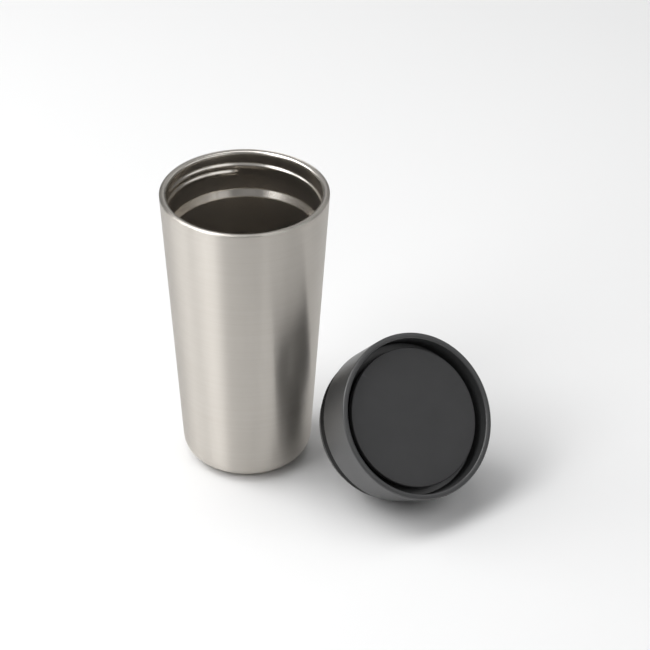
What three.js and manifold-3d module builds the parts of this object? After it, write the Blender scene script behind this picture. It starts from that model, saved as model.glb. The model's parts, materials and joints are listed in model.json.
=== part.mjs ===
// Insulated travel mug: a double-wall steel cup standing open, and its push-to-open
// screw lid lying tilted beside it on the edge of its plug.
// Millimetres, +Z up, origin at the centre of the cup's underside.
import * as THREE from 'three';
import { mergeVertices } from 'three/addons/utils/BufferGeometryUtils.js';
import Module from 'manifold-3d';

const wasm = await Module();
wasm.setup();

// ---------------------------------------------------------------- driving dimensions
const FIT_GAP = 0.3;            // clearance between neighbouring pieces
const LARGE_ROUND = 48;         // facets round the cup and the lid
const SMALL_ROUND = 24;         // facets round the pieces inside the lid
const ARC_STEPS = 3;            // facets in a rounded edge

const cup = {
  height: 153,
  topRadius: 42.5,
  footRadius: 31.93,            // where the side wall's slope would reach the floor
  footFillet: 11.4,
  wall: 0.6,
  footHoleRadius: 17,
  weldHeight: 1.5,              // the bead that closes the two walls at the lip
  weldInnerRadius: 41.3,
  weldRound: 0.6,
  lipRound: 1.6,                // the liner's flare over the lip
  neckRadius: 38.8,             // straight band that carries the rolled thread
  neckTaper: 0.5,               // how much the band narrows below the thread
  neckBottom: 131.9,
  linerTopRadius: 36.3,         // top of the tapered liner, below the shoulder
  linerTop: 128.4,
  linerBottom: 7.7,
  linerFillet: 6,
  linerSheet: 0.5,
  shoulderOffset: 0.3,          // how much lower the sheet bends on its outside
};
const cupSlope = (cup.topRadius - cup.footRadius) / cup.height;

const thread = {
  starts: 2,
  lead: 8,
  depth: 0.9,
  halfWidth: 1.75,
  firstStart: 97,               // degrees from +X to the rounded beginning of a start
  sweep: 252,                   // degrees that each start runs
  bottom: 141.4,
  rampDegrees: 7,
  rows: 9,                      // facets up the band that carries the thread
};

const base = {
  padRadius: 16.5,
  padThickness: 0.7,
  plateRadius: 20,
  plateThickness: 0.7,
  portRadius: 1.6,
};

const getter = { radius: 4, topRadius: 3.2, sideHeight: 1.6, height: 2.2, offset: 11 };

// The lid is modelled with its rim plane at zero and its plug towards -Z.
const lid = {
  rimRadius: 42.35,
  rimInnerRadius: 39.35,
  rimRound: 0.9,
  skirtRadius: 39.65,
  skirtBottom: -25.9,
  skirtEdge: 0.5,
  skirtInnerRadius: 37.2,
  channelBottomRadius: 39,
  channelFillet: 1,
  floorTop: -12,
  floorBottom: -14,
  portCount: 6,
  portInnerRadius: 15,
  portOuterRadius: 34,
  portDegrees: 44,
  seat: new THREE.Vector3(86.3, -49.25, 52.25),   // rim centre as the lid lies
  heading: 36,                  // degrees from -Y towards +X that the disc faces
  elevation: 37.74,             // degrees that the lid's axis rises
};

const collar = {
  sleeveRadius: 36.8,
  sleeveInnerRadius: 34.6,
  top: -16.6,
  flangeTop: -33.4,
  flangeBottom: -34.2,
  flangeRadius: 37.3,
  neckTopRadius: 36.1,
  neckTop: -34.4,
  neckBottomRadius: 35.3,
  neckBottom: -37.7,
  coneTopRadius: 34.91,         // the cone that the lid rests on
  coneTop: -39.42,
  footRadius: 27.85,
  footEdge: 0.5,
  foot: -49,
  wall: 2.2,
  seatTop: -43.5,
  seatBottom: -45.5,
  seatHoleRadius: 17.5,
  recessRadius: 25.3,
  floorRadius: 28.2,
};

const lug = {
  radius: 38.4,
  height: 1.4,
  rootRadius: 35,
  rootHeight: 2.4,
  middle: -35,
  degrees: 26,
  firstMiddle: 84.5,            // degrees round the lid's axis
};

const seal = {
  top: -26.2,
  bottom: -33.1,
  lipRadius: 38.95,
  lipHeight: 0.4,
  lipDrop: 0.5,
  bodyRadius: 38,               // just under the lip
  bodyTop: -28.2,
  footRadius: 37.6,
  innerRadius: 37.1,
};

const gasket = {
  innerRadius: 34.9,
  outerRadius: 36.7,
  top: -14.3,
  bottom: -16.3,
};

const button = {
  radius: 35.37,
  top: -4.1,
  edgeRound: 0.6,
  skirtBottomRadius: 35.1,
  skirtBottom: -7.5,
  skirtInnerRadius: 33.5,
  under: -5.9,
  bossRadius: 5.5,
  bossBottom: -9.4,
  socketTop: -6.9,
  sealTop: -8,
  sealBottom: -9.1,
};

const stem = {
  radius: 2.3,
  top: -7.2,
  bottom: -47.3,
  boreRadius: 1.8,
  boreTop: -42,
};

const sleeve = {
  radius: 9,
  innerRadius: 7.2,
  top: -11,
  bottom: -33,
  floorTop: -31,
  clipRadius: 11,
  clipTop: -14.3,
  clipBottom: -15.8,
};

const cam = {
  radius: 6.8,
  pusherTop: -13,
  pusherBottom: -16.2,
  rotorTop: -18.4,
  rotorBottom: -20.9,
  teeth: 8,
  toothHeight: 0.9,
  toothRoot: 0.3,               // how far a tooth sinks into its ring
  toothShare: 0.68,             // tooth width as a share of the pitch
  toothLength: 2.4,
  toothInset: 0.4,
  washerRadius: 6.6,
  washerThickness: 0.6,
};

const coil = {
  radius: 5.2,
  wire: 0.45,
  top: -22.6,
  bottom: -30.2,
  turns: 5,
  stepsPerTurn: 14,
  halfSides: 3,
};

const stemSeal = { radius: 6.8, thickness: 1.8 };

const spider = {
  hubRadius: 6,
  top: -35.6,
  bottom: -37.4,
  ringRadius: 32.6,
  ringInnerRadius: 30.6,
  arms: 4,
  armWidth: 3,
};

const valve = {
  sealTop: -45.8,
  sealBottom: -47.3,
  sealRadius: 21.6,
  sealInnerRadius: 15.5,
  sealLean: 0.6,
  ribWidth: 1.7,
  ribSlope: 1,
  plateTop: -47.6,
  plateBottom: -49.4,
  plateRadius: 22.5,
  plateEdge: 0.6,
  screwHoleRadius: 1.8,
  shankRadius: 1.4,
  shankTop: -43,
  washerTop: -49.7,
  washerBottom: -50.3,
  washerRadius: 5,
  headTop: -50.6,
  headBottom: -52.4,
  headRadius: 3.6,
  headEdge: 0.6,
  slotLength: 4,
  slotWidth: 0.8,
  slotDepth: 1,
};

// ---------------------------------------------------------------- materials
function material(color, roughness, metalness) {
  return new THREE.MeshStandardMaterial({ color, roughness, metalness });
}

const brushedSteel = material(0xb4afa8, 0.36, 1);
const polishedSteel = material(0xd8d5d0, 0.15, 1);
const springSteel = material(0xa8a8a6, 0.3, 1);
const darkPlastic = material(0x414243, 0.5, 0);
const buttonPlastic = material(0x3b3c3d, 0.55, 0);
const innerPlastic = material(0x2c2d2e, 0.5, 0);
const whitePlastic = material(0xd9d8d2, 0.45, 0);
const blackSilicone = material(0x1b1b1c, 0.75, 0);
const getterAlloy = material(0x8b8983, 0.6, 0.8);
const sealGlass = material(0x9fb3a6, 0.2, 0);

// ---------------------------------------------------------------- shape helpers
const rad = THREE.MathUtils.degToRad;
const point = (radius, height) => new THREE.Vector2(radius, height);

// Points round an arc of a profile, angles in degrees.
function arc(radius, height, size, from, to, steps = ARC_STEPS) {
  const points = [];
  for (let i = 0; i <= steps; i += 1) {
    const angle = rad(from + ((to - from) * i) / steps);
    points.push(point(radius + size * Math.cos(angle), height + size * Math.sin(angle)));
  }
  return points;
}

// A solid of revolution about Z. A profile that touches the axis starts and ends on it;
// any other profile is a ring and is closed here.
function turned(profile, segments = SMALL_ROUND) {
  const points = profile.map((p) => p.clone());
  if (THREE.ShapeUtils.area(points) < 0) points.reverse();
  const onAxis = points[0].x === 0 && points.at(-1).x === 0;
  if (!onAxis) points.push(points[0].clone());
  const geometry = new THREE.LatheGeometry(points, segments);
  geometry.rotateX(Math.PI / 2);
  return geometry;
}

function ring(inner, outer, bottom, top, segments = SMALL_ROUND) {
  return turned([
    point(inner, bottom),
    point(outer, bottom),
    point(outer, top),
    point(inner, top),
  ], segments);
}

function disc(radius, bottom, top, segments = SMALL_ROUND) {
  return turned([point(0, bottom), point(radius, bottom), point(radius, top), point(0, top)], segments);
}

// A slab with the outline of a ring sector, centred on `middle` degrees.
function sector(inner, outer, middle, degrees, bottom, top) {
  const shape = new THREE.Shape();
  const from = rad(middle - degrees / 2);
  const to = rad(middle + degrees / 2);
  shape.absarc(0, 0, outer, from, to, false);
  shape.absarc(0, 0, inner, to, from, true);
  shape.closePath();
  const geometry = new THREE.ExtrudeGeometry(shape, {
    depth: top - bottom,
    bevelEnabled: false,
    curveSegments: ARC_STEPS,
  });
  geometry.translate(0, 0, bottom);
  return geometry;
}

function block(width, depth, bottom, top, x = 0, y = 0) {
  const geometry = new THREE.BoxGeometry(width, depth, top - bottom);
  geometry.translate(x, y, (top + bottom) / 2);
  return geometry;
}

function toManifold(geometry) {
  const plain = geometry.clone();
  plain.deleteAttribute('normal');
  plain.deleteAttribute('uv');
  const merged = mergeVertices(plain, 1e-4);
  return new wasm.Manifold(new wasm.Mesh({
    numProp: 3,
    vertProperties: new Float32Array(merged.attributes.position.array),
    triVerts: new Uint32Array(merged.index.array),
  }));
}

function toGeometry(solid) {
  const mesh = solid.getMesh();
  const geometry = new THREE.BufferGeometry();
  geometry.setAttribute('position', new THREE.BufferAttribute(mesh.vertProperties, 3));
  geometry.setIndex(new THREE.BufferAttribute(mesh.triVerts, 1));
  geometry.computeVertexNormals();
  return geometry;
}

function joined(geometries) {
  return toGeometry(geometries.map(toManifold).reduce((all, next) => all.add(next)));
}

function cut(geometry, cutters) {
  const body = toManifold(geometry);
  return toGeometry(cutters.map(toManifold).reduce((rest, next) => rest.subtract(next), body));
}

function eachPoint(geometry, change) {
  const position = geometry.attributes.position;
  const v = new THREE.Vector3();
  for (let i = 0; i < position.count; i += 1) {
    v.fromBufferAttribute(position, i);
    change(v);
    position.setXYZ(i, v.x, v.y, v.z);
  }
  return geometry;
}

function around(count, make) {
  return Array.from({ length: count }, (_, i) => make((360 * i) / count));
}

const part = new THREE.Group();

function add(group, name, geometry, surface) {
  const mesh = new THREE.Mesh(geometry, surface);
  mesh.name = name;
  group.add(mesh);
  return mesh;
}

// ---------------------------------------------------------------- cup walls
const outerRadiusAt = (height) => cup.footRadius + cupSlope * height;
const linerRadiusAt = (height) => cup.linerTopRadius - cupSlope * (cup.linerTop - height);

// The fillet that joins the flat foot to the sloping side wall, and the same curve offset inwards.
function footCurve(offset) {
  const lean = Math.atan(cupSlope);
  const size = cup.footFillet - offset;
  const centreHeight = cup.footFillet;
  const centreRadius = outerRadiusAt(centreHeight) - cup.footFillet / Math.cos(lean);
  return arc(centreRadius, centreHeight, size, -90, -THREE.MathUtils.radToDeg(lean), 2 * ARC_STEPS);
}

function outerShell() {
  const top = cup.height - cup.weldHeight - FIT_GAP;
  const outside = footCurve(0);
  const inside = footCurve(cup.wall).reverse();
  const profile = [
    point(cup.footHoleRadius, 0),
    ...outside,
    point(outerRadiusAt(top), top),
    point(outerRadiusAt(top) - cup.wall, top),
    ...inside,
    point(cup.footHoleRadius, cup.wall),
  ];
  return turned(profile, LARGE_ROUND);
}

function lipWeld() {
  const bottom = cup.height - cup.weldHeight;
  const round = cup.weldRound;
  return turned([
    point(cup.weldInnerRadius, bottom),
    point(cup.topRadius, bottom),
    ...arc(cup.topRadius - round, cup.height - round, round, 0, 90),
    point(cup.weldInnerRadius, cup.height),
  ], LARGE_ROUND);
}

// How far a rolled thread start pushes the neck inwards at an angle and height.
function threadPush(degrees, height) {
  let push = 0;
  for (let start = 0; start < thread.starts; start += 1) {
    const from = thread.firstStart + (360 * start) / thread.starts;
    const along = THREE.MathUtils.euclideanModulo(degrees - from, 360);
    const inside = Math.min(along, thread.sweep - along);
    if (inside <= 0) continue;
    const centre = thread.bottom + (thread.lead * along) / 360;
    const across = Math.abs(height - centre) / thread.halfWidth;
    if (across >= 1) continue;
    const ramp = Math.min(1, inside / thread.rampDegrees);
    push = Math.max(push, thread.depth * ramp * Math.cos((across * Math.PI) / 2) ** 2);
  }
  return push;
}

// The side of the liner that faces the drink (offset 0) or the vacuum (offset of one sheet),
// from the edge of the flare at the lip down to the rounded bottom corner.
function linerSide(offset) {
  const threadTop = thread.bottom + (thread.lead * thread.sweep) / 360 + thread.halfWidth;
  const threadBottom = thread.bottom - thread.halfWidth;
  const band = Array.from({ length: thread.rows + 1 }, (_, i) => point(
    cup.neckRadius + offset,
    threadTop + ((threadBottom - threadTop) * i) / thread.rows,
  ));
  const round = cup.lipRound;
  const fillet = cup.linerFillet;
  const lean = THREE.MathUtils.radToDeg(Math.atan(cupSlope));
  const cornerHeight = cup.linerBottom + fillet;
  const cornerRadius = linerRadiusAt(cornerHeight) - fillet;
  const drop = offset > 0 ? cup.shoulderOffset : 0;
  return [
    point(cup.weldInnerRadius - FIT_GAP, cup.height - offset),
    ...arc(cup.neckRadius + round, cup.height - round, round - offset, 90, 180),
    ...band,
    point(cup.neckRadius - cup.neckTaper + offset, cup.neckBottom - drop),
    point(cup.linerTopRadius + offset, cup.linerTop - drop),
    ...arc(cornerRadius, cornerHeight, fillet + offset, -lean, -90, ARC_STEPS + 1),
  ];
}

function innerLiner() {
  const sheet = cup.linerSheet;
  const geometry = turned([
    point(0, cup.linerBottom),
    ...linerSide(0).reverse(),
    ...linerSide(sheet),
    point(0, cup.linerBottom - sheet),
  ], LARGE_ROUND);
  return eachPoint(geometry, (v) => {
    const radius = Math.hypot(v.x, v.y);
    if (radius === 0) return;
    const degrees = THREE.MathUtils.radToDeg(Math.atan2(v.y, v.x));
    const scale = (radius - threadPush(degrees, v.z)) / radius;
    v.x *= scale;
    v.y *= scale;
  });
}

add(part, 'outer_shell', outerShell(), brushedSteel);
add(part, 'inner_liner', innerLiner(), brushedSteel);
add(part, 'lip_weld', lipWeld(), brushedSteel);

// ---------------------------------------------------------------- cup foot
function bottomPlate() {
  const low = cup.wall + FIT_GAP;
  return ring(base.portRadius, base.plateRadius, low, low + base.plateThickness, LARGE_ROUND);
}

function vacuumSeal() {
  const low = cup.wall + FIT_GAP;
  const radius = base.portRadius - FIT_GAP;
  const top = low + base.plateThickness;
  const dome = arc(0, top, radius, 0, 90).slice(0, -1);
  return turned([point(0, low), point(radius, low), ...dome, point(0, top + radius)]);
}

function getterCapsule() {
  const low = cup.wall + 2 * FIT_GAP + base.plateThickness;
  const geometry = turned([
    point(0, low),
    point(getter.radius, low),
    point(getter.radius, low + getter.sideHeight),
    point(getter.topRadius, low + getter.height),
    point(0, low + getter.height),
  ]);
  geometry.translate(getter.offset, 0, 0);
  return geometry;
}

add(part, 'bottom_plate', bottomPlate(), brushedSteel);
add(part, 'vacuum_seal', vacuumSeal(), sealGlass);
add(part, 'getter_capsule', getterCapsule(), getterAlloy);
add(part, 'base_pad', disc(base.padRadius, 0, base.padThickness, LARGE_ROUND), blackSilicone);

// ---------------------------------------------------------------- lid placement
// The lid leans: turned to its heading, then tipped back until its axis has its elevation.
const lidHeading = new THREE.Group();
lidHeading.position.copy(lid.seat);
lidHeading.rotation.z = rad(lid.heading);
part.add(lidHeading);
const lidGroup = new THREE.Group();
lidGroup.rotation.x = rad(90 - lid.elevation);
lidHeading.add(lidGroup);

const stemClear = stem.radius + FIT_GAP;

// ---------------------------------------------------------------- lid shell and collar
function lidShell() {
  const round = lid.rimRound;
  const body = turned([
    ...arc(lid.rimRadius - round, -round, round, 0, 90),
    ...arc(lid.rimInnerRadius + round, -round, round, 90, 180),
    point(lid.channelBottomRadius, lid.floorTop + lid.channelFillet),
    point(lid.channelBottomRadius - lid.channelFillet, lid.floorTop),
    point(sleeve.radius + FIT_GAP, lid.floorTop),
    point(sleeve.radius + FIT_GAP, lid.floorBottom),
    point(lid.skirtInnerRadius, lid.floorBottom),
    point(lid.skirtInnerRadius, lid.skirtBottom),
    point(lid.skirtRadius - lid.skirtEdge, lid.skirtBottom),
    point(lid.skirtRadius, lid.skirtBottom + lid.skirtEdge),
  ], LARGE_ROUND);
  const ports = around(lid.portCount, (angle) => sector(
    lid.portInnerRadius, lid.portOuterRadius, angle, lid.portDegrees,
    lid.floorBottom - FIT_GAP, lid.floorTop + FIT_GAP,
  ));
  return cut(body, ports);
}

// A lug is a short length of helical thread standing out of the collar, thinner at its crest.
function threadLug(middle) {
  const low = lug.middle - lug.rootHeight / 2;
  const high = lug.middle + lug.rootHeight / 2;
  const slab = sector(lug.rootRadius, lug.radius, middle, lug.degrees, low, high);
  const taper = (lug.rootHeight - lug.height) / (lug.radius - lug.rootRadius);
  return eachPoint(slab, (v) => {
    const height = lug.rootHeight - taper * (Math.hypot(v.x, v.y) - lug.rootRadius);
    const degrees = THREE.MathUtils.radToDeg(Math.atan2(v.y, v.x));
    const along = THREE.MathUtils.euclideanModulo(degrees - middle + 180, 360) - 180;
    v.z = lug.middle + Math.sign(v.z - lug.middle) * (height / 2) + (thread.lead * along) / 360;
  });
}

function threadCollar() {
  const neckInner = collar.neckBottomRadius - collar.wall;
  const body = turned([
    point(collar.sleeveInnerRadius, collar.top),
    point(collar.sleeveRadius, collar.top),
    point(collar.sleeveRadius, collar.flangeTop),
    point(collar.flangeRadius, collar.flangeTop),
    point(collar.flangeRadius, collar.flangeBottom),
    point(collar.neckTopRadius, collar.neckTop),
    point(collar.neckBottomRadius, collar.neckBottom),
    point(collar.coneTopRadius, collar.coneTop),
    point(collar.footRadius, collar.foot + collar.footEdge),
    point(collar.footRadius - collar.footEdge, collar.foot),
    point(collar.recessRadius, collar.foot),
    point(collar.recessRadius, collar.seatBottom),
    point(collar.seatHoleRadius, collar.seatBottom),
    point(collar.seatHoleRadius, collar.seatTop),
    point(collar.floorRadius, collar.seatTop),
    point(collar.coneTopRadius - collar.wall, collar.coneTop),
    point(neckInner, collar.neckBottom),
    point(collar.sleeveInnerRadius, collar.flangeBottom),
  ], LARGE_ROUND);
  return joined([body, threadLug(lug.firstMiddle), threadLug(lug.firstMiddle + 180)]);
}

function mouthSeal() {
  return turned([
    point(seal.innerRadius, seal.bottom),
    point(seal.footRadius, seal.bottom),
    point(seal.bodyRadius, seal.bodyTop),
    point(seal.lipRadius, seal.top - seal.lipDrop - seal.lipHeight),
    point(seal.lipRadius, seal.top - seal.lipDrop),
    point(seal.bodyRadius, seal.top),
    point(seal.innerRadius, seal.top),
  ], LARGE_ROUND);
}

function flowSpider() {
  const outer = ring(
    spider.ringInnerRadius, spider.ringRadius, spider.bottom, spider.top, LARGE_ROUND,
  );
  const hub = disc(spider.hubRadius, spider.bottom, spider.top);
  const reach = (spider.ringInnerRadius + spider.ringRadius) / 2;
  const arms = around(spider.arms, (angle) => {
    const arm = block(reach, spider.armWidth, spider.bottom, spider.top, reach / 2, 0);
    arm.rotateZ(rad(angle));
    return arm;
  });
  const bore = disc(stemClear, spider.bottom - FIT_GAP, spider.top + FIT_GAP);
  return cut(joined([outer, hub, ...arms]), [bore]);
}

add(lidGroup, 'lid_shell', lidShell(), darkPlastic);
add(lidGroup, 'thread_collar', threadCollar(), innerPlastic);
add(lidGroup, 'mouth_seal', mouthSeal(), blackSilicone);
add(lidGroup, 'collar_gasket', ring(
  gasket.innerRadius, gasket.outerRadius, gasket.bottom, gasket.top, LARGE_ROUND,
), blackSilicone);
add(lidGroup, 'flow_spider', flowSpider(), innerPlastic);

// ---------------------------------------------------------------- push button
function buttonCap() {
  const round = button.edgeRound;
  return turned([
    point(0, button.top),
    ...arc(button.radius - round, button.top - round, round, 90, 0),
    point(button.skirtBottomRadius, button.skirtBottom),
    point(button.skirtInnerRadius, button.skirtBottom),
    point(button.skirtInnerRadius, button.under),
    point(button.bossRadius, button.under),
    point(button.bossRadius, button.bossBottom),
    point(stemClear, button.bossBottom),
    point(stemClear, button.socketTop),
    point(0, button.socketTop),
  ], LARGE_ROUND);
}

function buttonStem() {
  return turned([
    point(0, stem.top),
    point(stem.radius, stem.top),
    point(stem.radius, stem.bottom),
    point(stem.boreRadius, stem.bottom),
    point(stem.boreRadius, stem.boreTop),
    point(0, stem.boreTop),
  ]);
}

add(lidGroup, 'button_cap', buttonCap(), buttonPlastic);
add(lidGroup, 'button_stem', buttonStem(), polishedSteel);
add(lidGroup, 'button_seal', ring(
  button.bossRadius + FIT_GAP, cam.radius, button.sealBottom, button.sealTop,
), blackSilicone);

// ---------------------------------------------------------------- click mechanism
function guideSleeve() {
  return turned([
    point(sleeve.innerRadius, sleeve.top),
    point(sleeve.radius, sleeve.top),
    point(sleeve.radius, sleeve.clipTop),
    point(sleeve.clipRadius, sleeve.clipTop),
    point(sleeve.clipRadius, sleeve.clipBottom),
    point(sleeve.radius, sleeve.clipBottom),
    point(sleeve.radius, sleeve.bottom),
    point(stemClear, sleeve.bottom),
    point(stemClear, sleeve.floorTop),
    point(sleeve.innerRadius, sleeve.floorTop),
  ]);
}

// A ring with wedge teeth on one face; `up` is 1 for teeth on top and -1 for teeth below.
function toothedRing(bottom, top, up) {
  const body = ring(stemClear, cam.radius, bottom, top);
  const face = up > 0 ? top : bottom;
  const pitch = (2 * Math.PI * cam.radius) / cam.teeth;
  const halfWidth = (pitch * cam.toothShare) / 2;
  const wedge = new THREE.Shape();
  wedge.moveTo(-halfWidth, -cam.toothRoot * up);
  wedge.lineTo(halfWidth, -cam.toothRoot * up);
  wedge.lineTo(0, cam.toothHeight * up);
  wedge.closePath();
  const teeth = around(cam.teeth, (angle) => {
    const tooth = new THREE.ExtrudeGeometry(wedge, { depth: cam.toothLength, bevelEnabled: false });
    tooth.rotateX(Math.PI / 2);
    tooth.translate(0, cam.radius - cam.toothInset, face);
    tooth.rotateZ(rad(angle));
    return tooth;
  });
  return joined([body, ...teeth]);
}

class Helix extends THREE.Curve {
  getPoint(t, target = new THREE.Vector3()) {
    const angle = t * coil.turns * 2 * Math.PI;
    const height = coil.bottom + t * (coil.top - coil.bottom);
    return target.set(coil.radius * Math.cos(angle), coil.radius * Math.sin(angle), height);
  }
}

function returnSpring() {
  const wire = new THREE.Shape();
  wire.absarc(0, 0, coil.wire, 0, 2 * Math.PI, false);
  return new THREE.ExtrudeGeometry(wire, {
    steps: coil.turns * coil.stepsPerTurn,
    curveSegments: coil.halfSides,
    bevelEnabled: false,
    extrudePath: new Helix(),
  });
}

add(lidGroup, 'guide_sleeve', guideSleeve(), whitePlastic);
add(lidGroup, 'cam_pusher', toothedRing(cam.pusherBottom, cam.pusherTop, -1), whitePlastic);
add(lidGroup, 'cam_rotor', toothedRing(cam.rotorBottom, cam.rotorTop, 1), whitePlastic);
add(lidGroup, 'thrust_washer', ring(
  stemClear, cam.washerRadius,
  cam.rotorBottom - FIT_GAP - cam.washerThickness, cam.rotorBottom - FIT_GAP,
), polishedSteel);
add(lidGroup, 'return_spring', returnSpring(), springSteel);
add(lidGroup, 'stem_seal', ring(
  stemClear, stemSeal.radius,
  sleeve.bottom - FIT_GAP - stemSeal.thickness, sleeve.bottom - FIT_GAP,
), blackSilicone);

// ---------------------------------------------------------------- drinking valve
function valvePlate() {
  const ribRadius = valve.sealInnerRadius - FIT_GAP;
  return turned([
    point(valve.screwHoleRadius, valve.plateBottom),
    point(valve.plateRadius - valve.plateEdge, valve.plateBottom),
    point(valve.plateRadius, valve.plateBottom + valve.plateEdge),
    point(valve.plateRadius, valve.plateTop),
    point(ribRadius, valve.plateTop),
    point(ribRadius, valve.sealTop),
    point(ribRadius - valve.ribWidth, valve.sealTop),
    point(ribRadius - valve.ribWidth - valve.ribSlope, valve.plateTop),
    point(valve.screwHoleRadius, valve.plateTop),
  ], LARGE_ROUND);
}

function valveScrew() {
  const body = turned([
    point(0, valve.shankTop),
    point(valve.shankRadius, valve.shankTop),
    point(valve.shankRadius, valve.headTop),
    point(valve.headRadius, valve.headTop),
    point(valve.headRadius, valve.headBottom + valve.headEdge),
    point(valve.headRadius - valve.headEdge, valve.headBottom),
    point(0, valve.headBottom),
  ]);
  const low = valve.headBottom - valve.slotDepth;
  const high = valve.headBottom + valve.slotDepth;
  return cut(body, [
    block(valve.slotLength, valve.slotWidth, low, high),
    block(valve.slotWidth, valve.slotLength, low, high),
  ]);
}

add(lidGroup, 'valve_seal', turned([
  point(valve.sealInnerRadius, valve.sealBottom),
  point(valve.sealRadius, valve.sealBottom),
  point(valve.sealRadius - valve.sealLean, valve.sealTop),
  point(valve.sealInnerRadius, valve.sealTop),
], LARGE_ROUND), blackSilicone);
add(lidGroup, 'valve_plate', valvePlate(), innerPlastic);
add(lidGroup, 'valve_washer', ring(
  valve.screwHoleRadius, valve.washerRadius, valve.washerBottom, valve.washerTop,
), polishedSteel);
add(lidGroup, 'valve_screw', valveScrew(), polishedSteel);

export default part;
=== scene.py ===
"""Looks of an insulated steel travel mug and its loose lid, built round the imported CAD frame.

The mug stands open at the origin. The lid lies tilted beside it, so every piece of the lid is
made upright round its own axis and then set down by the lid's placement, read from its joint.
"""
import json
import math

import bmesh
import bpy
from mathutils import Matrix, Vector

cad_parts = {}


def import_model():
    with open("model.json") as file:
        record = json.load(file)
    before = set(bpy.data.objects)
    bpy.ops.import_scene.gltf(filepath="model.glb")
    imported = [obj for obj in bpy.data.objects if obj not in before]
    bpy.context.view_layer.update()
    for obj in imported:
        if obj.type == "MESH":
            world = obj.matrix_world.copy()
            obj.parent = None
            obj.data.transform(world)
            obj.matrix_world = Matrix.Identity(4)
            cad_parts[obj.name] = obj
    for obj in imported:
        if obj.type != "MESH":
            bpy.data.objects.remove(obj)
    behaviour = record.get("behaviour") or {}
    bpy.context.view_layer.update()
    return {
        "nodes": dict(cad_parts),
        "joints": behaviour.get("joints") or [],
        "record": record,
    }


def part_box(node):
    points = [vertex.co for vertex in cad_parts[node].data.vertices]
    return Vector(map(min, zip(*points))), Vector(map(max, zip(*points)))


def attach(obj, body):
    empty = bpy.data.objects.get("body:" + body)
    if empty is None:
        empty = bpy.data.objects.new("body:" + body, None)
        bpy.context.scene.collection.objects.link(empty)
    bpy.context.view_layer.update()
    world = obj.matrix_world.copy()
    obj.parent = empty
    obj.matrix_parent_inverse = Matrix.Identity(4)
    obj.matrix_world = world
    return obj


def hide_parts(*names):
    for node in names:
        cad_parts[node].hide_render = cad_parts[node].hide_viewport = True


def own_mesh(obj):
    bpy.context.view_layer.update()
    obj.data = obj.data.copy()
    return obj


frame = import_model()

MM = 0.001
FINE = 256            # facets round the large visible pieces
MEDIUM = 96           # facets round the small ones
ARC_STEP = math.radians(9)
SHARP_ANGLE = math.radians(38)
FILLET_SHARE = 0.95   # most of an edge that one fillet may take up
ON_AXIS = 1e-6        # distance that still counts as lying on the axis, millimetres
CUT_MARGIN = 1.0      # how far a cutter stands out of what it cuts

joints = {joint["name"]: joint for joint in frame["joints"]}
lid_axis = Vector(joints["lid_turn"]["axis"]).normalized()
lid_seat = Vector(joints["lid_turn"]["pos_m"])
LID_HEADING = math.atan2(lid_axis.x, -lid_axis.y)
LID_LEAN = math.acos(lid_axis.z)
LID_PLACE = (
    Matrix.Translation(lid_seat)
    @ Matrix.Rotation(LID_HEADING, 4, "Z")
    @ Matrix.Rotation(LID_LEAN, 4, "X")
)


# ---------------------------------------------------------------- measures from the frame
def box_mm(node):
    """Lowest and highest corner of a node's box, in millimetres."""
    low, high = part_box(node)
    return low / MM, high / MM


def lid_reach(node):
    """Widest radius, lowest and highest place of a node along the lid's axis, in millimetres."""
    back = LID_PLACE.inverted()
    points = [back @ v.co / MM for v in frame["nodes"][node].data.vertices]
    radius = max(math.hypot(p.x, p.y) for p in points)
    return radius, min(p.z for p in points), max(p.z for p in points)


shell_top = box_mm("outer_shell")[1].z
cup_height = box_mm("lip_weld")[1].z
cup_radius = box_mm("lip_weld")[1].x
pad_radius = box_mm("base_pad")[1].x
pad_top = box_mm("base_pad")[1].z
rim_radius, skirt_bottom = lid_reach("lid_shell")[:2]
lug_radius, collar_foot, collar_top = lid_reach("thread_collar")
seal_radius, seal_bottom, seal_top = lid_reach("mouth_seal")
button_radius, button_bottom, button_top = lid_reach("button_cap")
valve_radius, valve_bottom, valve_top = lid_reach("valve_plate")

# ---------------------------------------------------------------- cup measures, millimetres
FOOT_RADIUS = 31.93           # where the side wall's slope would reach the floor
FOOT_FILLET = 11.4
WALL = 0.6
SHEET = 0.5
FOOT_HOLE = 17.0
FLARE_RADIUS = 41.0           # edge of the liner's flare over the lip
WELD_ROUND = 1.0
LIP_ROUND = 1.6
NECK_RADIUS = 38.8
NECK_TAPER = 0.5
NECK_BOTTOM = 131.9
LINER_TOP_RADIUS = 36.3
LINER_TOP = 128.4
SHOULDER_ROUND = 2.0
LINER_BOTTOM = 7.7
LINER_FILLET = 6.0
CUP_SLOPE = (cup_radius - FOOT_RADIUS) / cup_height

THREAD_LEAD = 8.0
THREAD_DEPTH = 0.9
THREAD_HALF_WIDTH = 1.75
THREAD_FIRST = 95.0
THREAD_SWEEP = 252.0
THREAD_BOTTOM = 141.4
THREAD_RAMP = 10.0
SEAM_AZIMUTH = 114.0          # the liner's lengthwise weld
SEAM_HALF_DEGREES = 1.2
SEAM_HEIGHT = 0.08
NECK_ROWS = 44                # rings of points over the threaded band
LINER_FACETS = 450
SHOULDER_DROP = 0.3           # how much lower the sheet bends on its outside
HOLE_EDGE = 0.2               # rounding of the wall's edge round the foot's hole
FOOT_MARGIN = 2.0             # height above the foot's rounding that has no ring of points
WALL_ROWS = 24                # spacings of the rings up the wall's outside
WALL_BACK_ROWS = 8            # and up its inside
LINER_ROWS = 20
LINER_MARGIN = 3.0            # height under the shoulder that has no ring of points
FLOOR_CALM = 0.3              # middle share of the liner that stays exactly round
SEAM_MARGIN = 1.0             # the lengthwise weld stops this far from both ends
WELD_GAP = 0.02               # between the weld and the edge of the liner's flare
WELD_EDGE = 0.1


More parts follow.
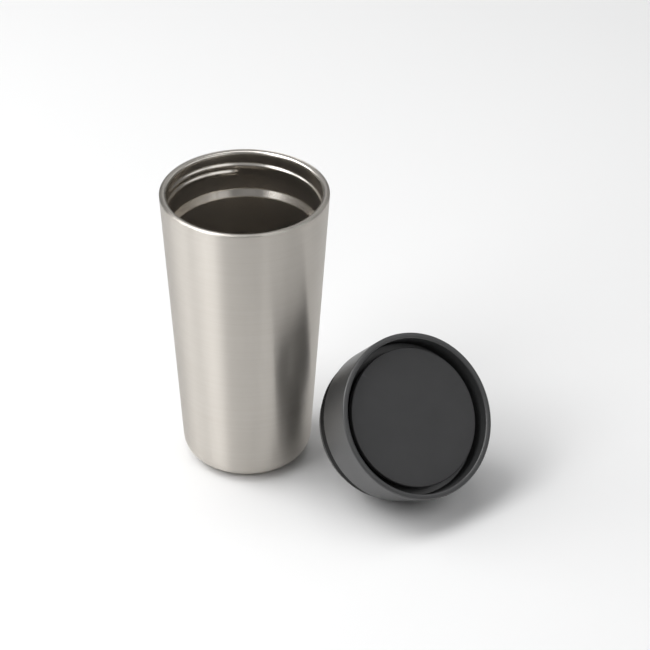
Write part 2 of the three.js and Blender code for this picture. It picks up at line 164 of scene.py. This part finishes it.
# ---------------------------------------------------------------- shape helpers
def rounded(corners, closed=True):
    """A profile from corners (radius, height[, fillet]), with each fillet as an arc."""
    points = []
    count = len(corners)
    for i, corner in enumerate(corners):
        here = Vector(corner[:2])
        size = corner[2] if len(corner) > 2 else 0.0
        if size == 0 or (not closed and i in (0, count - 1)):
            points.append(here)
            continue
        before = Vector(corners[i - 1][:2]) - here
        after = Vector(corners[(i + 1) % count][:2]) - here
        half = before.angle(after) / 2
        room = FILLET_SHARE * min(before.length, after.length)
        reach = min(size / math.tan(half), room)
        bisector = (before.normalized() + after.normalized()).normalized()
        centre = here + bisector * reach / math.cos(half)
        spoke = here + before.normalized() * reach - centre
        last = here + after.normalized() * reach - centre
        start = math.atan2(spoke.y, spoke.x)
        turn = math.remainder(math.atan2(last.y, last.x) - start, 2 * math.pi)
        steps = max(2, math.ceil(abs(turn) / ARC_STEP))
        for k in range(steps + 1):
            angle = start + turn * k / steps
            points.append(centre + Vector((math.cos(angle), math.sin(angle))) * spoke.length)
    return points


def finish_mesh(mesh):
    """Smooth shading with crisp edges."""
    mesh.shade_smooth()
    mesh.set_sharp_from_angle(angle=SHARP_ANGLE)


def new_object(name, data):
    """A new object in the scene from a mesh, curve, light or camera."""
    piece = bpy.data.objects.new(name, data)
    bpy.context.scene.collection.objects.link(piece)
    return piece


def lathe(name, points, segments=FINE, push=None):
    """Turns a profile in millimetres about Z. A profile on the axis starts and ends there."""
    closed = points[0].x > ON_AXIS or points[-1].x > ON_AXIS
    build = bmesh.new()
    rings = []
    for point in points:
        if point.x <= ON_AXIS:
            rings.append([build.verts.new((0, 0, point.y * MM))])
            continue
        ring = []
        for k in range(segments):
            degrees = 360 * k / segments
            radius = point.x + (push(degrees, point.x, point.y) if push else 0)
            angle = math.radians(degrees)
            across = radius * math.cos(angle) * MM
            along = radius * math.sin(angle) * MM
            ring.append(build.verts.new((across, along, point.y * MM)))
        rings.append(ring)
    pairs = list(zip(rings, rings[1:]))
    if closed:
        pairs.append((rings[-1], rings[0]))
    for low, high in pairs:
        for k in range(segments):
            after = (k + 1) % segments
            corners = [
                low[k % len(low)],
                low[after % len(low)],
                high[after % len(high)],
                high[k % len(high)],
            ]
            corners = list(dict.fromkeys(corners))
            if len(corners) > 2:
                build.faces.new(corners)
    bmesh.ops.recalc_face_normals(build, faces=build.faces)
    mesh = bpy.data.meshes.new(name)
    build.to_mesh(mesh)
    build.free()
    finish_mesh(mesh)
    return new_object(name, mesh)


def place_on_lid(piece):
    """Sets a piece that was made upright down where the lid lies."""
    piece.data.transform(LID_PLACE)
    return piece


def cut_away(piece, cutters):
    """Cuts the cutters out of a piece and removes them."""
    for cutter in cutters:
        change = piece.modifiers.new("cut", "BOOLEAN")
        change.operation = "DIFFERENCE"
        change.solver = "EXACT"
        change.object = cutter
    bpy.context.view_layer.update()
    result = piece.evaluated_get(bpy.context.evaluated_depsgraph_get())
    mesh = bpy.data.meshes.new_from_object(result)
    piece.modifiers.clear()
    piece.data = mesh
    finish_mesh(mesh)
    for cutter in cutters:
        bpy.data.objects.remove(cutter)
    return piece


def prism(name, outline, low, high):
    """A closed prism from an outline of (x, y) in millimetres."""
    build = bmesh.new()
    under = [build.verts.new((x * MM, y * MM, low * MM)) for x, y in outline]
    over = [build.verts.new((x * MM, y * MM, high * MM)) for x, y in outline]
    build.faces.new(under)
    build.faces.new(over)
    for k in range(len(outline)):
        after = (k + 1) % len(outline)
        build.faces.new([under[k], under[after], over[after], over[k]])
    bmesh.ops.recalc_face_normals(build, faces=build.faces)
    mesh = bpy.data.meshes.new(name)
    build.to_mesh(mesh)
    build.free()
    return new_object(name, mesh)


def sector_outline(inner, outer, middle, degrees, steps=10):
    """Outline of a part of a ring, between two radii and round a middle azimuth."""
    angles = [math.radians(middle - degrees / 2 + degrees * k / steps) for k in range(steps + 1)]
    out = [(outer * math.cos(a), outer * math.sin(a)) for a in angles]
    back = [(inner * math.cos(a), inner * math.sin(a)) for a in reversed(angles)]
    return out + back


# ---------------------------------------------------------------- material helpers
class Shader:
    """A material's node tree, with short calls for the nodes it uses."""

    MIX_FIRST = 6             # colour sockets of a Mix node
    MIX_SECOND = 7
    MIX_RESULT = 2

    def __init__(self, name):
        self.material = bpy.data.materials.new(name)
        self.material.use_nodes = True
        self.tree = self.material.node_tree
        self.tree.nodes.clear()
        self.surface = self.node("ShaderNodeBsdfPrincipled")
        output = self.node("ShaderNodeOutputMaterial")
        self.tree.links.new(self.surface.outputs[0], output.inputs["Surface"])
        coordinates = self.node("ShaderNodeTexCoord")
        self.place = coordinates.outputs["Object"]

    def node(self, kind, **settings):
        made = self.tree.nodes.new(kind)
        for key, value in settings.items():
            setattr(made, key, value)
        return made

    def feed(self, made, **inputs):
        """Links or sets a node's inputs; an underscore in a name stands for a space."""
        for key, value in inputs.items():
            socket = made.inputs[key.replace("_", " ")]
            if isinstance(value, bpy.types.NodeSocket):
                self.tree.links.new(value, socket)
            else:
                socket.default_value = value
        return made

    def stretched(self, scale):
        """The place in the object, stretched by a scale along X, Y and Z."""
        mapping = self.node("ShaderNodeMapping")
        self.tree.links.new(self.place, mapping.inputs["Vector"])
        mapping.inputs["Scale"].default_value = scale
        return mapping.outputs["Vector"]

    def noise(self, scale, detail=3.0, roughness=0.5, vector=None):
        made = self.node("ShaderNodeTexNoise")
        self.tree.links.new(vector or self.place, made.inputs["Vector"])
        self.feed(made, Scale=scale, Detail=detail, Roughness=roughness)
        return made.outputs["Fac"]

    def spread(self, value, low, high, start=0.3, end=0.7):
        """Maps a noise value to a range."""
        made = self.node("ShaderNodeMapRange")
        self.feed(made, Value=value)
        made.inputs["From Min"].default_value = start
        made.inputs["From Max"].default_value = end
        made.inputs["To Min"].default_value = low
        made.inputs["To Max"].default_value = high
        return made.outputs["Result"]

    def tint(self, factor, first, second):
        """Mixes two colours; either of them may be another node's output."""
        made = self.node("ShaderNodeMix", data_type="RGBA")
        self.tree.links.new(factor, made.inputs["Factor"])
        for index, colour in ((self.MIX_FIRST, first), (self.MIX_SECOND, second)):
            if isinstance(colour, bpy.types.NodeSocket):
                self.tree.links.new(colour, made.inputs[index])
            else:
                made.inputs[index].default_value = (*colour, 1)
        return made.outputs[self.MIX_RESULT]

    def bump(self, height, strength, distance):
        made = self.node("ShaderNodeBump")
        self.feed(made, Height=height, Strength=strength, Distance=distance)
        return made.outputs["Normal"]

    def set(self, **inputs):
        self.feed(self.surface, **inputs)
        return self.material


BLUE_LOSS = 1.4       # how much more blue is lost than red is gained


def shade(value, warmth):
    """A near-grey colour, warmed a little towards yellow-brown."""
    return (value * (1 + warmth), value, value * (1 - BLUE_LOSS * warmth))


def brushed_steel(name, grey, rough, stretch, lines):
    """Steel brushed round its axis: fine grooves run round the wall and blur light up and down."""
    groove_size = (90.0, 90.0, 9000.0)
    streak_size = (14.0, 14.0, 900.0)
    groove_depth = 0.00002
    fine_change = 0.03
    broad_change = 0.012
    darker = shade(grey * 0.98, 0.06)
    lighter = shade(grey * 1.015, 0.055)
    shader = Shader(name)
    grooves = shader.noise(1.0, 4.0, 0.65, shader.stretched(groove_size))
    streaks = shader.noise(1.0, 3.0, 0.6, shader.stretched(streak_size))
    clouds = shader.noise(28.0, 2.0)
    colour = shader.tint(shader.spread(streaks, 0.0, 1.0), darker, lighter)
    fine = shader.spread(grooves, rough - fine_change, rough + fine_change)
    broad = shader.spread(clouds, -broad_change, broad_change)
    total = shader.node("ShaderNodeMath", operation="ADD")
    shader.tree.links.new(fine, total.inputs[0])
    shader.tree.links.new(broad, total.inputs[1])
    tangent = shader.node("ShaderNodeTangent", direction_type="RADIAL", axis="Z")
    shader.tree.links.new(tangent.outputs["Tangent"], shader.surface.inputs["Tangent"])
    normal = shader.bump(grooves, lines, groove_depth)
    return shader.set(
        Base_Color=colour, Metallic=1.0, Roughness=total.outputs[0],
        Anisotropic=stretch, Anisotropic_Rotation=0.25, Normal=normal,
    )


def plain_metal(name, grey, rough, grain, warmth=0.01):
    """Drawn, pressed or polished metal with faint cloudy wear."""
    grain_depth = 0.00001
    darker = shade(grey * 0.98, warmth)
    lighter = shade(grey * 1.01, warmth)
    shader = Shader(name)
    clouds = shader.noise(45.0, 2.0, 0.5)
    colour = shader.tint(shader.spread(clouds, 0.0, 1.0), darker, lighter)
    roughness = shader.spread(clouds, rough * 0.96, rough * 1.05)
    normal = shader.bump(shader.noise(4200.0, 2.0), grain, grain_depth)
    return shader.set(Base_Color=colour, Metallic=1.0, Roughness=roughness, Normal=normal)


def moulded(name, colour, rough, texture=0.25, pitch=5200.0, gloss=0.5):
    """Moulded plastic or rubber: a fine spark-eroded texture, faint flow clouds and sharp edges
    painted paler as a highlight.
    """
    texture_depth = 0.00003
    rough_change = 0.05
    edge_start = 0.53
    edge_end = 0.62
    darker = [c * 0.94 for c in colour]
    lighter = [c * 1.06 for c in colour]
    # a paler copy of the colour, used for the painted highlight on sharp edges
    highlight_colour = [c * 1.35 + 0.004 for c in colour]
    shader = Shader(name)
    grain = shader.noise(pitch, 2.0, 0.55)
    clouds = shader.noise(70.0, 3.0, 0.55)
    geometry = shader.node("ShaderNodeNewGeometry")
    # painted highlight: the sharpest edges are mixed towards the paler colour, standing in for
    # light caught on rounded edges
    edge_highlight_mask = shader.spread(geometry.outputs["Pointiness"], 0.0, 1.0, edge_start, edge_end)
    body = shader.tint(shader.spread(clouds, 0.0, 1.0), darker, lighter)
    edge = shader.tint(edge_highlight_mask, body, highlight_colour)
    roughness = shader.spread(grain, rough - rough_change, rough + rough_change)
    normal = shader.bump(grain, texture, texture_depth)
    return shader.set(
        Base_Color=edge, Roughness=roughness, Normal=normal, Specular_IOR_Level=gloss,
    )


def seal_glass(name):
    """Fired sealing glass, cloudy and faintly green."""
    darker = (0.42, 0.55, 0.47)
    lighter = (0.55, 0.66, 0.58)
    shader = Shader(name)
    clouds = shader.noise(900.0, 2.0)
    colour = shader.tint(clouds, darker, lighter)
    return shader.set(Base_Color=colour, Roughness=0.12, Transmission_Weight=0.4)


SLOT_MATERIALS = {
    "brushed_steel": brushed_steel(
        "brushed_steel", grey=0.625, rough=0.385, stretch=1.0, lines=0.08),
    "liner_steel": plain_metal(
        "liner_steel", grey=0.59, rough=0.26, grain=0.0, warmth=0.055),
    "polished_steel": plain_metal(
        "polished_steel", grey=0.62, rough=0.27, grain=0.02, warmth=0.03),
    "spring_steel": plain_metal("spring_steel", grey=0.5, rough=0.28, grain=0.05),
    "getter_alloy": plain_metal("getter_alloy", grey=0.4, rough=0.6, grain=0.4),
    "seal_glass": seal_glass("seal_glass"),
    "lid_plastic": moulded(
        "lid_plastic", (0.033, 0.0335, 0.0345), rough=0.37, gloss=1.0),
    "button_plastic": moulded(
        "button_plastic", (0.045, 0.045, 0.0465), rough=0.58),
    "inner_plastic": moulded(
        "inner_plastic", (0.05, 0.05, 0.051), rough=0.4, texture=0.15, gloss=0.8),
    "cam_plastic": moulded(
        "cam_plastic", (0.68, 0.67, 0.63), rough=0.35, texture=0.08),
    "black_silicone": moulded(
        "black_silicone", (0.006, 0.006, 0.006), rough=0.65, texture=0.3, pitch=3600.0, gloss=0.2),
}
node_slot = {entry["node"]: entry["material_slot"] for entry in frame["record"]["subparts"]}
node_body = {
    node: body
    for body, members in frame["record"]["behaviour"]["bodies"].items()
    for node in members
}

for name, node in frame["nodes"].items():
    node.data.materials.clear()
    node.data.materials.append(SLOT_MATERIALS[node_slot[name]])


def stands_for(piece, node):
    """Gives a fine piece its CAD node's material and body, and hides the node."""
    piece.data.materials.clear()
    piece.data.materials.append(SLOT_MATERIALS[node_slot[node]])
    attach(piece, node_body[node])
    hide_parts(node)
    return piece


# ---------------------------------------------------------------- cup
def outer_radius(height):
    """Radius of the wall's outside at a height, as if its slope ran down to the floor."""
    return FOOT_RADIUS + CUP_SLOPE * height


def liner_radius(height):
    """Radius of the tapered part of the liner at a height."""
    return LINER_TOP_RADIUS - CUP_SLOPE * (LINER_TOP - height)


def upright_rows(low, high, count):
    """Evenly spaced heights between two ends, without the ends."""
    return [low + (high - low) * k / count for k in range(1, count)]


def cup_wall():
    """The tapered outer wall with its rounded foot, open under the pad."""
    foot = outer_radius(0)
    straight = FOOT_FILLET + FOOT_MARGIN
    rows = upright_rows(0, shell_top, WALL_ROWS)
    back_rows = upright_rows(0, shell_top, WALL_BACK_ROWS)
    side = [(outer_radius(z), z) for z in rows if z > straight]
    inside = [(outer_radius(z) - WALL, z) for z in reversed(back_rows) if z > straight]
    corners = [
        (FOOT_HOLE, 0, HOLE_EDGE),
        (foot, 0, FOOT_FILLET),
        *side,
        (outer_radius(shell_top), shell_top),
        (outer_radius(shell_top) - WALL, shell_top),
        *inside,
        (foot - WALL, WALL, FOOT_FILLET - WALL),
        (FOOT_HOLE, WALL, HOLE_EDGE),
    ]
    return lathe("cup_wall", rounded(corners))


def thread_push(degrees, height):
    """How far the rolled thread stands inwards at an azimuth and height."""
    push = 0.0
    for start in (THREAD_FIRST, THREAD_FIRST + 180):
        along = (degrees - start) % 360
        inside = min(along, THREAD_SWEEP - along)
        if inside <= 0:
            continue
        across = abs(height - THREAD_BOTTOM - THREAD_LEAD * along / 360) / THREAD_HALF_WIDTH
        if across >= 1:
            continue
        ramp = math.sin(min(1.0, inside / THREAD_RAMP) * math.pi / 2)
        push = max(push, THREAD_DEPTH * ramp * math.cos(across * math.pi / 2) ** 2)
    return push


def liner_push(degrees, radius, height):
    """What the thread and the lengthwise weld add to the liner's radius."""
    if radius < LINER_TOP_RADIUS * FLOOR_CALM:
        return 0.0
    push = -thread_push(degrees, height)
    across = abs(degrees - SEAM_AZIMUTH) / SEAM_HALF_DEGREES
    if across < 1 and LINER_BOTTOM + SEAM_MARGIN < height < shell_top - SEAM_MARGIN:
        push -= SEAM_HEIGHT * math.cos(across * math.pi / 2)
    return push


def cup_liner():
    """The drawn liner: flared mouth, threaded neck, shoulder, tapered side and rounded floor."""
    thread_top = THREAD_BOTTOM + THREAD_LEAD * THREAD_SWEEP / 360 + THREAD_HALF_WIDTH
    thread_low = THREAD_BOTTOM - THREAD_HALF_WIDTH
    neck = [thread_top + (thread_low - thread_top) * k / NECK_ROWS for k in range(NECK_ROWS + 1)]
    floor_radius = liner_radius(LINER_BOTTOM)
    sides = upright_rows(LINER_BOTTOM + LINER_FILLET, LINER_TOP - LINER_MARGIN, LINER_ROWS)
    inside = [
        (FLARE_RADIUS, cup_height),
        (NECK_RADIUS, cup_height, LIP_ROUND),
        *[(NECK_RADIUS, z) for z in neck],
        (NECK_RADIUS - NECK_TAPER, NECK_BOTTOM, SHOULDER_ROUND),
        (LINER_TOP_RADIUS, LINER_TOP, SHOULDER_ROUND),
        *[(liner_radius(z), z) for z in reversed(sides)],
        (floor_radius, LINER_BOTTOM, LINER_FILLET),
        (0, LINER_BOTTOM),
    ]
    outside = [
        (0, LINER_BOTTOM - SHEET),
        (floor_radius + SHEET, LINER_BOTTOM - SHEET, LINER_FILLET + SHEET),
        (LINER_TOP_RADIUS + SHEET, LINER_TOP - SHOULDER_DROP, SHOULDER_ROUND),
        (NECK_RADIUS - NECK_TAPER + SHEET, NECK_BOTTOM - SHOULDER_DROP, SHOULDER_ROUND),
        *[(NECK_RADIUS + SHEET, z) for z in reversed(neck)],
        (NECK_RADIUS + SHEET, cup_height - SHEET, LIP_ROUND - SHEET),
        (FLARE_RADIUS, cup_height - SHEET),
    ]
    skin = rounded(inside, closed=False)
    back = rounded(outside, closed=False)
    points = list(reversed(skin)) + list(reversed(back))
    return lathe("cup_liner", points, LINER_FACETS, liner_push)


def cup_lip():
    """The welded bead that joins the two walls, brushed over like the wall."""
    inner = FLARE_RADIUS + WELD_GAP
    return lathe("cup_lip", rounded([
        (inner, shell_top, WELD_EDGE),
        (outer_radius(shell_top), shell_top, WELD_EDGE),
        (cup_radius, cup_height, WELD_ROUND),
        (inner, cup_height),
    ]))


def foot_pad():
    """The soft pad that fills the hole of the foot."""
    return lathe("foot_pad", rounded([
        (0, 0),
        (pad_radius, 0, 0.25),
        (pad_radius, pad_top, 0.1),
        (0, pad_top),
    ], closed=False), MEDIUM)


stands_for(cup_wall(), "outer_shell")
stands_for(cup_liner(), "inner_liner")
stands_for(cup_lip(), "lip_weld")
stands_for(foot_pad(), "base_pad")

# ---------------------------------------------------------------- lid measures, millimetres
RIM_INNER = 39.35
RIM_ROUND = 0.9
SKIRT_RADIUS = 39.65
SKIRT_INNER = 37.2
CHANNEL_RADIUS = 39.0
FLOOR_TOP = -12.0
FLOOR_BOTTOM = -14.0
HUB_HOLE = 9.3
PORTS = 6
PORT_INNER = 15.0
PORT_OUTER = 34.0
PORT_DEGREES = 44.0
SEAL_INNER = 37.15
SEAL_FOOT = 37.6
SEAL_BODY = 38.0
SEAL_BODY_TOP = 2.0           # heights on the seal, all down from its top
SEAL_LIP_FOOT = 0.9
SEAL_LIP_TOP = 0.5
LUG_MIDDLE = -35.0
LUG_ROOT_HEIGHT = 2.4
LUG_FLANK = 0.5
LUG_DEGREES = 26.0
LUG_AZIMUTH = 84.5
LUG_END = 1.2                 # length of the rounded ends
NECK_TOP = (36.1, -34.4)
NECK_FOOT = (35.3, -37.7)
COLLAR_LEDGE = -33.4
PLUG_EDGE = (34.91, -39.42)
PLUG_FOOT = 27.46
COLLAR_FACETS = 480
COLLAR_ROWS = 40              # rings of points over the band with the lugs
COLLAR_SLEEVE = 36.8
COLLAR_BORE = 34.6
FLANGE_RADIUS = 37.3
FLANGE_THICKNESS = 0.8
SEAT_MOUTH = 25.3             # radii and heights of the valve's seat and the bore above it
SEAT_BORE = 17.5
SEAT_BOTTOM = -45.5
SEAT_TOP = -43.5
BORE_FOOT = 28.2
BORE_EDGE = 32.7
BORE_NECK = 33.1


# ---------------------------------------------------------------- lid shell, seal and collar
def lid_shell():
    """The flared shell with the drinking rim, the channel round the disc and the ported floor."""
    body = lathe("lid_outer", rounded([
        (rim_radius, 0, RIM_ROUND),
        (RIM_INNER, 0, RIM_ROUND),
        (CHANNEL_RADIUS, FLOOR_TOP, 0.9),
        (HUB_HOLE, FLOOR_TOP, 0.2),
        (HUB_HOLE, FLOOR_BOTTOM, 0.2),
        (SKIRT_INNER, FLOOR_BOTTOM, 0.6),
        (SKIRT_INNER, skirt_bottom, 0.25),
        (SKIRT_RADIUS, skirt_bottom, 0.45),
    ]))
    ports = []
    for k in range(PORTS):
        outline = sector_outline(PORT_INNER, PORT_OUTER, 360 * k / PORTS, PORT_DEGREES)
        ports.append(prism("port", outline, FLOOR_BOTTOM - CUT_MARGIN, FLOOR_TOP + CUT_MARGIN))
    return cut_away(body, ports)


def lug_push(degrees, radius, height):
    """How far the two thread lugs stand out of the collar's neck."""
    if radius < PLUG_EDGE[0] or not NECK_FOOT[1] < height < COLLAR_LEDGE:
        return 0.0
    for middle in (LUG_AZIMUTH, LUG_AZIMUTH + 180):
        along = math.remainder(degrees - middle, 360)
        inside = (LUG_DEGREES / 2 - abs(along)) * math.radians(1) * lug_radius
        across = LUG_ROOT_HEIGHT / 2 - abs(height - LUG_MIDDLE - THREAD_LEAD * along / 360)
        if inside > 0 and across > 0:
            share = min(1.0, inside / LUG_END) * min(1.0, across / LUG_FLANK)
            return (lug_radius - radius) * math.sin(share * math.pi / 2)
    return 0.0


def collar():
    """The plug with its flange, its two lugs and the seat of the valve."""
    top = Vector(NECK_TOP)
    foot = Vector(NECK_FOOT)
    neck = [tuple(top.lerp(foot, k / COLLAR_ROWS)) for k in range(COLLAR_ROWS + 1)]
    return lathe("plug_collar", rounded([
        (COLLAR_BORE, collar_top, 0.3),
        (COLLAR_SLEEVE, collar_top, 0.3),
        (COLLAR_SLEEVE, COLLAR_LEDGE),
        (FLANGE_RADIUS, COLLAR_LEDGE, 0.15),
        (FLANGE_RADIUS, COLLAR_LEDGE - FLANGE_THICKNESS, 0.15),
        *neck,
        (*PLUG_EDGE, 0.8),
        (PLUG_FOOT, collar_foot, 0.5),
        (SEAT_MOUTH, collar_foot, 0.3),
        (SEAT_MOUTH, SEAT_BOTTOM, 0.5),
        (SEAT_BORE, SEAT_BOTTOM, 0.4),
        (SEAT_BORE, SEAT_TOP, 0.4),
        (BORE_FOOT, SEAT_TOP, 1.5),
        (BORE_EDGE, PLUG_EDGE[1], 1.0),
        (BORE_NECK, NECK_FOOT[1]),
        (COLLAR_BORE, COLLAR_LEDGE - FLANGE_THICKNESS, 0.5),
    ]), COLLAR_FACETS, lug_push)


def mouth_seal():
    """The silicone sleeve with the lip that seals in the mug's neck."""
    return lathe("lid_seal_ring", rounded([
        (SEAL_INNER, seal_bottom, 0.15),
        (SEAL_FOOT, seal_bottom, 0.15),
        (SEAL_BODY, seal_top - SEAL_BODY_TOP, 0.5),
        (seal_radius, seal_top - SEAL_LIP_FOOT, 0.15),
        (seal_radius, seal_top - SEAL_LIP_TOP, 0.15),
        (SEAL_BODY, seal_top, 0.2),
        (SEAL_INNER, seal_top, 0.2),
    ]))


stands_for(place_on_lid(lid_shell()), "lid_shell")
stands_for(place_on_lid(collar()), "thread_collar")
stands_for(place_on_lid(mouth_seal()), "mouth_seal")


# ---------------------------------------------------------------- push button
DISC_RINGS = 12               # rings of points over the face
DISC_MARGIN = 2.0             # the face's rings stop this far from its edge
DISC_SKIRT_OUTER = 35.1
DISC_SKIRT_INNER = 33.5
DISC_SKIRT_FOOT = -7.5
DISC_UNDERSIDE = -5.9
BOSS_RADIUS = 5.5
BOSS_BORE = 2.6
BOSS_BORE_TOP = -6.9


def button_disc():
    """The pressed disc with its skirt and the bored boss that takes the stem."""
    reach = button_radius - DISC_MARGIN
    face = [(reach * k / DISC_RINGS, button_top) for k in range(DISC_RINGS + 1)]
    return lathe("push_disc", rounded([
        *face,
        (button_radius, button_top, 0.55),
        (DISC_SKIRT_OUTER, DISC_SKIRT_FOOT, 0.3),
        (DISC_SKIRT_INNER, DISC_SKIRT_FOOT, 0.3),
        (DISC_SKIRT_INNER, DISC_UNDERSIDE, 0.5),
        (BOSS_RADIUS, DISC_UNDERSIDE, 0.8),
        (BOSS_RADIUS, button_bottom, 0.3),
        (BOSS_BORE, button_bottom, 0.2),
        (BOSS_BORE, BOSS_BORE_TOP),
        (0, BOSS_BORE_TOP),
    ], closed=False))


stands_for(place_on_lid(button_disc()), "button_cap")


# ---------------------------------------------------------------- valve under the plug
SCREW_HOLE = 1.8
PLATE_TOP = -47.6
RING_OUTER = 15.2             # the ring on the plate that holds the valve's seal
RING_CREST = 13.5
RING_INNER = 12.5
SEAL_HOLE = 15.5
SEAL_SLOPE = 0.6
SCREW_HEAD = 1.8
SCREW_SHANK = 1.4
SLOT_HALF_LENGTH = 2.0
SLOT_HALF_WIDTH = 0.4
SLOT_DEPTH = 1.0


def valve_plate():
    """The round plate that closes the plug from below."""
    return lathe("valve_disc", rounded([
        (SCREW_HOLE, valve_bottom, 0.2),
        (valve_radius, valve_bottom, 0.7),
        (valve_radius, PLATE_TOP, 0.2),
        (RING_OUTER, PLATE_TOP),
        (RING_OUTER, valve_top, 0.2),
        (RING_CREST, valve_top, 0.2),
        (RING_INNER, PLATE_TOP, 0.3),
        (SCREW_HOLE, PLATE_TOP, 0.2),
    ]))


def valve_seal():
    """The soft ring that the plate presses on its seat."""
    radius, low, high = lid_reach("valve_seal")
    return lathe("valve_ring", rounded([
        (SEAL_HOLE, low, 0.2),
        (radius, low, 0.3),
        (radius - SEAL_SLOPE, high, 0.5),
        (SEAL_HOLE, high, 0.3),
    ]))


def valve_washer():
    """The washer under the screw's head."""
    radius, low, high = lid_reach("valve_washer")
    return lathe("screw_washer", rounded([
        (SCREW_HOLE, low, 0.1),
        (radius, low, 0.15),
        (radius, high, 0.15),
        (SCREW_HOLE, high, 0.1),
    ]), MEDIUM)


def valve_screw():
    """The round-headed screw with a cross recess that holds the plate on the stem."""
    radius, low, high = lid_reach("valve_screw")
    head_top = low + SCREW_HEAD
    body = lathe("cross_screw", rounded([
        (0, high),
        (SCREW_SHANK, high, 0.3),
        (SCREW_SHANK, head_top),
        (radius, head_top, 0.15),
        (radius, low, 0.9),
        (0, low),
    ], closed=False), MEDIUM)
    slots = []
    for x, y in ((SLOT_HALF_LENGTH, SLOT_HALF_WIDTH), (SLOT_HALF_WIDTH, SLOT_HALF_LENGTH)):
        outline = [(-x, -y), (x, -y), (x, y), (-x, y)]
        slots.append(prism("slot", outline, low - CUT_MARGIN, low + SLOT_DEPTH))
    return cut_away(body, slots)


for make, node in (
    (valve_plate, "valve_plate"), (valve_seal, "valve_seal"),
    (valve_washer, "valve_washer"), (valve_screw, "valve_screw"),
):
    stands_for(place_on_lid(make()), node)


# ---------------------------------------------------------------- inside the lid
SPRING_RADIUS = 5.2
SPRING_TURNS = 5
SPRING_STEPS = 24             # points on one turn
SPRING_LOW = -30.2
SPRING_HIGH = -22.6
WIRE_RADIUS = 0.45
WIRE_RESOLUTION = 4


def return_spring():
    """The coil spring at its free length."""
    curve = bpy.data.curves.new("button_spring", "CURVE")
    curve.dimensions = "3D"
    curve.bevel_depth = WIRE_RADIUS * MM
    curve.bevel_resolution = WIRE_RESOLUTION
    curve.use_fill_caps = True
    line = curve.splines.new("POLY")
    line.points.add(SPRING_TURNS * SPRING_STEPS)
    for k, point in enumerate(line.points):
        angle = 2 * math.pi * k / SPRING_STEPS
        height = SPRING_LOW + (SPRING_HIGH - SPRING_LOW) * k / (SPRING_TURNS * SPRING_STEPS)
        across = SPRING_RADIUS * math.cos(angle)
        along = SPRING_RADIUS * math.sin(angle)
        place = LID_PLACE @ (Vector((across, along, height)) * MM)
        point.co = (*place, 1)
    holder = new_object("button_spring", curve)
    bpy.context.view_layer.update()
    result = holder.evaluated_get(bpy.context.evaluated_depsgraph_get())
    mesh = bpy.data.meshes.new_from_object(result)
    bpy.data.objects.remove(holder)
    finish_mesh(mesh)
    return new_object("button_spring", mesh)


spring = stands_for(return_spring(), "return_spring")
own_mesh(spring)

# ---------------------------------------------------------------- floor, camera and light
FLOOR_HALF = 6.0
FLOOR_DARKER = (0.86, 0.86, 0.86)
FLOOR_LIGHTER = (0.88, 0.88, 0.88)
CAMERA_PLACE = (0.0399, -1.7342, 1.1969)
CAMERA_TILT = 57.085
LENS_LENGTH = 226.25
SENSOR_WIDTH = 36
SKY_COLOUR = (0.98, 0.99, 1.0, 1)
SKY_STRENGTH = 0.12
LIGHT_TARGET = Vector((0.04, -0.02, 0.07))
LIGHT_DISTANCE = 1.5
# name, azimuth and elevation in degrees, width and height in metres, watts
LIGHTS = (
    ("left_front", -57, 42, 0.75, 0.8, 6.6),
    ("left", -101, 42, 0.75, 0.8, 7.8),
    ("left_back", -135, 42, 0.8, 0.8, 0.8),
    ("left_top", -90, 65, 0.8, 0.8, 8.2),
    ("front", -5, 42, 0.7, 0.8, 0.5),
    ("front_low", -45, 18, 0.55, 0.7, 1.0),
    ("right_front", 42, 42, 0.8, 0.8, 2.5),
    ("right", 86, 42, 0.8, 0.8, 2.1),
    ("right_back", 138, 38, 0.6, 0.8, 1.0),
    ("back", 180, 38, 0.9, 0.8, 0.8),
    ("over", 180, 80, 0.9, 0.9, 4.0),
)


def floor():
    """A plain pale floor."""
    half = FLOOR_HALF
    corners = [(-half, -half, 0), (half, -half, 0), (half, half, 0), (-half, half, 0)]
    mesh = bpy.data.meshes.new("floor")
    mesh.from_pydata(corners, [], [(0, 1, 2, 3)])
    piece = new_object("floor", mesh)
    shader = Shader("floor_paint")
    clouds = shader.noise(3.0, 2.0)
    colour = shader.tint(clouds, FLOOR_DARKER, FLOOR_LIGHTER)
    paint = shader.set(Base_Color=colour, Roughness=0.9, Specular_IOR_Level=0.1)
    piece.data.materials.append(paint)


def softbox(name, azimuth, elevation, width, height, power):
    """A soft light facing the mug; the azimuth runs from the camera's side towards +X."""
    light = bpy.data.lights.new(name, "AREA")
    light.shape = "RECTANGLE"
    light.size = width
    light.size_y = height
    light.energy = power
    around = math.radians(azimuth)
    rise = math.radians(elevation)
    level = math.cos(rise)
    away = Vector((level * math.sin(around), -level * math.cos(around), math.sin(rise)))
    holder = new_object(name, light)
    holder.location = LIGHT_TARGET + away * LIGHT_DISTANCE
    holder.rotation_euler = away.to_track_quat("Z", "Y").to_euler()


def camera():
    """The camera looks down on the mug from the front."""
    lens = bpy.data.cameras.new("camera")
    lens.sensor_width = SENSOR_WIDTH
    lens.lens = LENS_LENGTH
    holder = new_object("camera", lens)
    holder.location = CAMERA_PLACE
    holder.rotation_euler = (math.radians(CAMERA_TILT), 0, 0)
    bpy.context.scene.camera = holder


def world():
    """Faint light from all round, a little cool."""
    made = bpy.data.worlds.new("studio")
    made.use_nodes = True
    background = made.node_tree.nodes["Background"]
    background.inputs["Color"].default_value = SKY_COLOUR
    background.inputs["Strength"].default_value = SKY_STRENGTH
    bpy.context.scene.world = made


floor()
camera()
world()
for row in LIGHTS:
    softbox(*row)
bpy.context.scene.view_settings.view_transform = "Standard"
